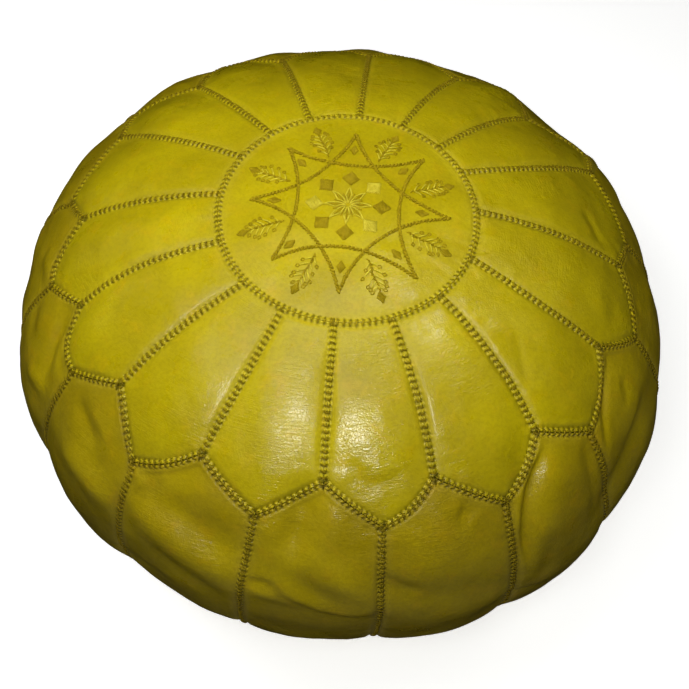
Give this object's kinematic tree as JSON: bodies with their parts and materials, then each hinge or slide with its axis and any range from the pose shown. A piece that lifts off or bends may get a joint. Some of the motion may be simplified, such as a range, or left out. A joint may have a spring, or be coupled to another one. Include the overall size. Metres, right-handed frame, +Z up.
{
  "type": "leather pouf",
  "caption": "Round stuffed leather pouf with a stitched medallion, petal panels and side panels, to sit on or rest the feet on.",
  "frame": {"origin": "centre of the flat base, on the floor", "axes": "+Z up through the middle of the medallion, -Y towards the front, +X to the right seen from the front"},
  "size_m": [0.5203, 0.5211, 0.3025],
  "materials": {
    "petal_leather": "satin",
    "side_leather": "satin",
    "medallion_leather": "satin",
    "base_leather": "matte"
  },
  "bodies": {
    "root": {"medallion": "medallion_leather", "petal_01": "petal_leather", "petal_02": "petal_leather", "petal_03": "petal_leather", "petal_04": "petal_leather", "petal_05": "petal_leather", "petal_06": "petal_leather", "petal_07": "petal_leather", "petal_08": "petal_leather", "petal_09": "petal_leather", "petal_10": "petal_leather", "petal_11": "petal_leather", "petal_12": "petal_leather", "petal_13": "petal_leather", "petal_14": "petal_leather", "petal_15": "petal_leather", "petal_16": "petal_leather", "side_panel_01": "side_leather", "side_panel_02": "side_leather", "side_panel_03": "side_leather", "side_panel_04": "side_leather", "side_panel_05": "side_leather", "side_panel_06": "side_leather", "side_panel_07": "side_leather", "side_panel_08": "side_leather", "side_panel_09": "side_leather", "side_panel_10": "side_leather", "side_panel_11": "side_leather", "side_panel_12": "side_leather", "side_panel_13": "side_leather", "side_panel_14": "side_leather", "side_panel_15": "side_leather", "side_panel_16": "side_leather", "stuffed_base": "base_leather"}
  },
  "joints": []
}
